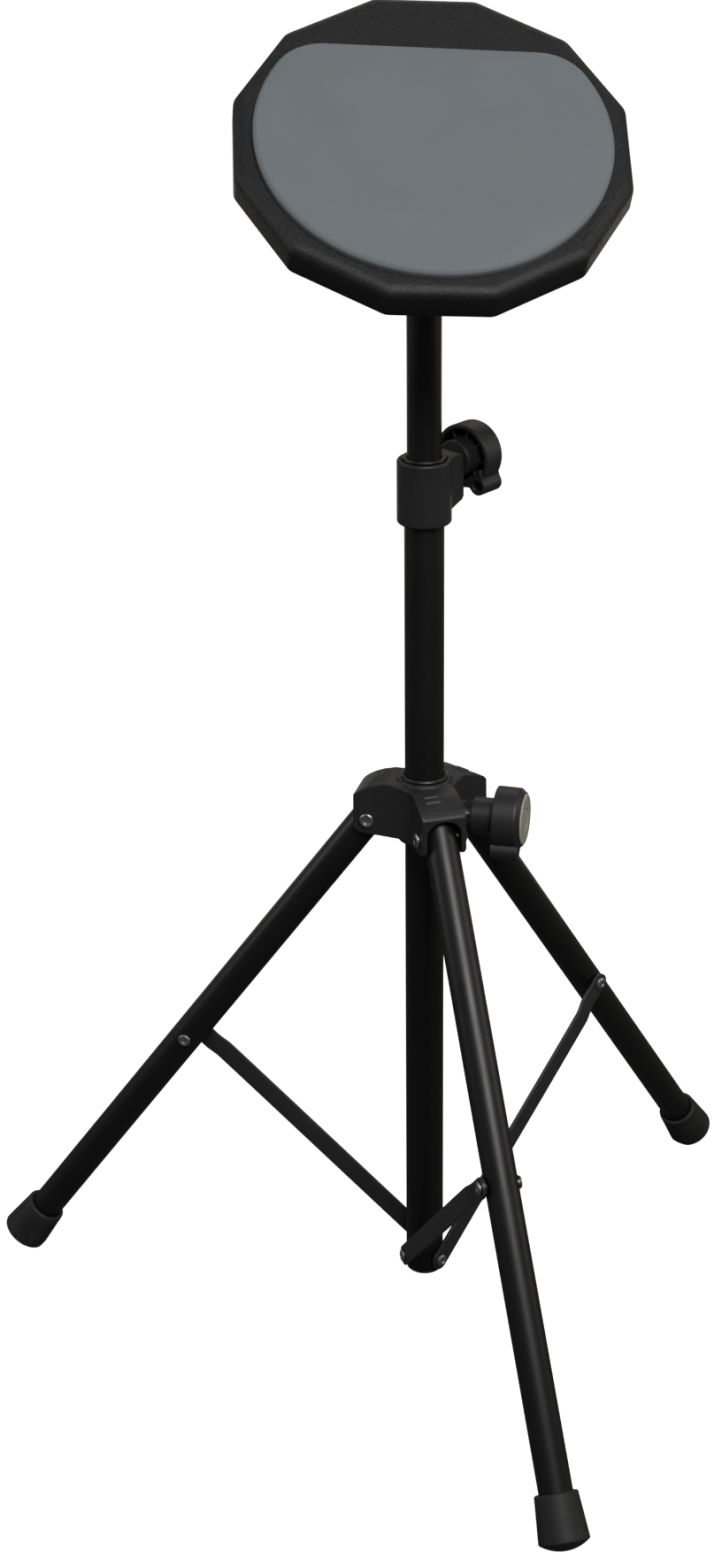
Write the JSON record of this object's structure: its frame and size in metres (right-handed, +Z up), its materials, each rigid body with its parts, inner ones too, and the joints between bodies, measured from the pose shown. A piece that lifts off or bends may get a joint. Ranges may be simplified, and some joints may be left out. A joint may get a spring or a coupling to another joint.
{
  "type": "practice pad",
  "caption": "Twelve-sided drum practice pad with a round grey rubber face, tilted on a height-adjustable folding tripod stand.",
  "frame": {"origin": "middle of the footprint box on the floor", "axes": "+Z up along the column; the player is towards -Y and the pad's face leans towards the player"},
  "size_m": [0.4548, 0.4622, 0.7718],
  "materials": {
    "powder_coated_steel": "semi-gloss black powder coat with a fine orange peel",
    "textured_black_plastic": "satin moulded plastic with a fine spark-eroded grain",
    "black_nylon": "smooth satin nylon",
    "foot_rubber": "matte black rubber",
    "pad_rubber": "flat mid-grey rubber playing surface",
    "pad_base_shell": "textured black with a fine sparkle",
    "black_strut_steel": "satin dark-grey coated flat steel",
    "zinc_steel": "bright zinc plate",
    "brass": "plain turned brass",
    "cap_grey": "satin light-grey disc"
  },
  "bodies": {
    "column": {"column_tube": "powder_coated_steel", "column_bottom_plug": "black_nylon", "clamp_collar": "textured_black_plastic", "collar_insert": "brass", "mast_bush": "black_nylon"},
    "height_knob": {"height_knob": "textured_black_plastic", "height_knob_stud": "zinc_steel", "height_knob_cap": "cap_grey"},
    "hub": {"hub": "textured_black_plastic", "hub_insert": "brass", "hub_bush": "black_nylon", "leg_barrel_nut_front": "zinc_steel", "leg_bolt_front": "zinc_steel", "leg_barrel_nut_right": "zinc_steel", "leg_bolt_right": "zinc_steel", "leg_barrel_nut_left": "zinc_steel", "leg_bolt_left": "zinc_steel"},
    "hub_knob": {"hub_knob": "textured_black_plastic", "hub_knob_stud": "zinc_steel", "hub_knob_cap": "cap_grey"},
    "mast_carriage": {"mast_glide": "black_nylon"},
    "mast": {"mast_tube": "powder_coated_steel", "tilter_base": "textured_black_plastic"},
    "tilter_head": {"tilter_head": "textured_black_plastic", "pad_stud": "zinc_steel", "pad_lock_nut": "zinc_steel", "pad_washer": "foot_rubber", "tilter_bolt": "zinc_steel", "tilter_washer": "zinc_steel"},
    "tilter_wing_nut": {"tilter_wing_nut": "zinc_steel"},
    "pad": {"pad_base": "pad_base_shell", "pad_rubber": "pad_rubber", "pad_insert": "zinc_steel", "insert_screw_1": "zinc_steel", "insert_screw_2": "zinc_steel", "insert_screw_3": "zinc_steel"},
    "leg_front": {"leg_tube_front": "powder_coated_steel", "leg_top_plug_front": "black_nylon", "leg_foot_front": "foot_rubber", "leg_rivet_front": "zinc_steel", "strut_washer_front": "black_nylon"},
    "strut_front": {"strut_front": "black_strut_steel", "column_rivet_front": "zinc_steel"},
    "leg_right": {"leg_tube_right": "powder_coated_steel", "leg_top_plug_right": "black_nylon", "leg_foot_right": "foot_rubber", "leg_rivet_right": "zinc_steel", "strut_washer_right": "black_nylon"},
    "strut_right": {"strut_right": "black_strut_steel", "column_rivet_right": "zinc_steel"},
    "leg_left": {"leg_tube_left": "powder_coated_steel", "leg_top_plug_left": "black_nylon", "leg_foot_left": "foot_rubber", "leg_rivet_left": "zinc_steel", "strut_washer_left": "black_nylon"},
    "strut_left": {"strut_left": "black_strut_steel", "column_rivet_left": "zinc_steel"}
  },
  "joints": [
    {"name": "hub_slide", "type": "slide", "parent": "column", "child": "hub", "axis": [0, 0, 1], "range_m": [0, 0.09948]},
    {"name": "hub_knob_turn", "type": "hinge", "parent": "hub", "child": "hub_knob", "pos_m": [0.03683, 0.02906, 0.3264], "axis": [0.9736, -0.2284, 0], "range_deg": [0, 360]},
    {"name": "height_knob_turn", "type": "hinge", "parent": "column", "child": "height_knob", "pos_m": [0.03683, 0.02906, 0.529], "axis": [0.6428, 0.766, 0], "range_deg": [0, 360]},
    {"name": "mast_height", "type": "slide", "parent": "column", "child": "mast_carriage", "axis": [0, 0, 1], "range_m": [-0.06, 0.165]},
    {"name": "mast_swivel", "type": "hinge", "parent": "mast_carriage", "child": "mast", "pos_m": [0.03683, 0.02906, 0.6703], "axis": [0, 0, 1], "continuous": true},
    {"name": "pad_tilt", "type": "hinge", "parent": "mast", "child": "tilter_head", "pos_m": [0.03683, 0.02906, 0.6703], "axis": [0.9878, 0.1557, 0], "range_deg": [-35, 20]},
    {"name": "wing_nut_turn", "type": "hinge", "parent": "tilter_head", "child": "tilter_wing_nut", "pos_m": [0.03683, 0.02906, 0.6703], "axis": [-0.9878, -0.1557, 0], "range_deg": [0, 360]},
    {"name": "pad_turn", "type": "hinge", "parent": "tilter_head", "child": "pad", "pos_m": [0.03683, 0.02906, 0.6703], "axis": [0.0897, -0.5687, 0.8176], "continuous": true},
    {"name": "leg_front_fold", "type": "hinge", "parent": "hub", "child": "leg_front", "pos_m": [0.04564, -0.00014, 0.3225], "axis": [0.9573, 0.289, 0], "range_deg": [0, 36.05]},
    {"name": "strut_front_fold", "type": "hinge", "parent": "leg_front", "child": "strut_front", "pos_m": [0.07903, -0.11071, 0.16353], "axis": [0.9573, 0.289, 0], "range_deg": [-74.74, 0]},
    {"name": "leg_right_fold", "type": "hinge", "parent": "hub", "child": "leg_right", "pos_m": [0.05771, 0.05129, 0.3225], "axis": [-0.729, 0.6845, 0], "range_deg": [0, 36.05]},
    {"name": "strut_right_fold", "type": "hinge", "parent": "leg_right", "child": "strut_right", "pos_m": [0.13677, 0.13549, 0.16353], "axis": [-0.729, 0.6845, 0], "range_deg": [-74.74, 0]},
    {"name": "leg_left_fold", "type": "hinge", "parent": "hub", "child": "leg_left", "pos_m": [0.00713, 0.03602, 0.3225], "axis": [-0.2284, -0.9736, 0], "range_deg": [0, 36.05]},
    {"name": "strut_left_fold", "type": "hinge", "parent": "leg_left", "child": "strut_left", "pos_m": [-0.10532, 0.0624, 0.16353], "axis": [-0.2284, -0.9736, 0], "range_deg": [-74.74, 0]}
  ],
  "couplings": [
    {"joint": "leg_front_fold", "follows": "hub_slide", "rad_per_m": 6.316},
    {"joint": "strut_front_fold", "follows": "hub_slide", "rad_per_m": -13.103},
    {"joint": "leg_right_fold", "follows": "hub_slide", "rad_per_m": 6.316},
    {"joint": "strut_right_fold", "follows": "hub_slide", "rad_per_m": -13.103},
    {"joint": "leg_left_fold", "follows": "hub_slide", "rad_per_m": 6.316},
    {"joint": "strut_left_fold", "follows": "hub_slide", "rad_per_m": -13.103}
  ]
}
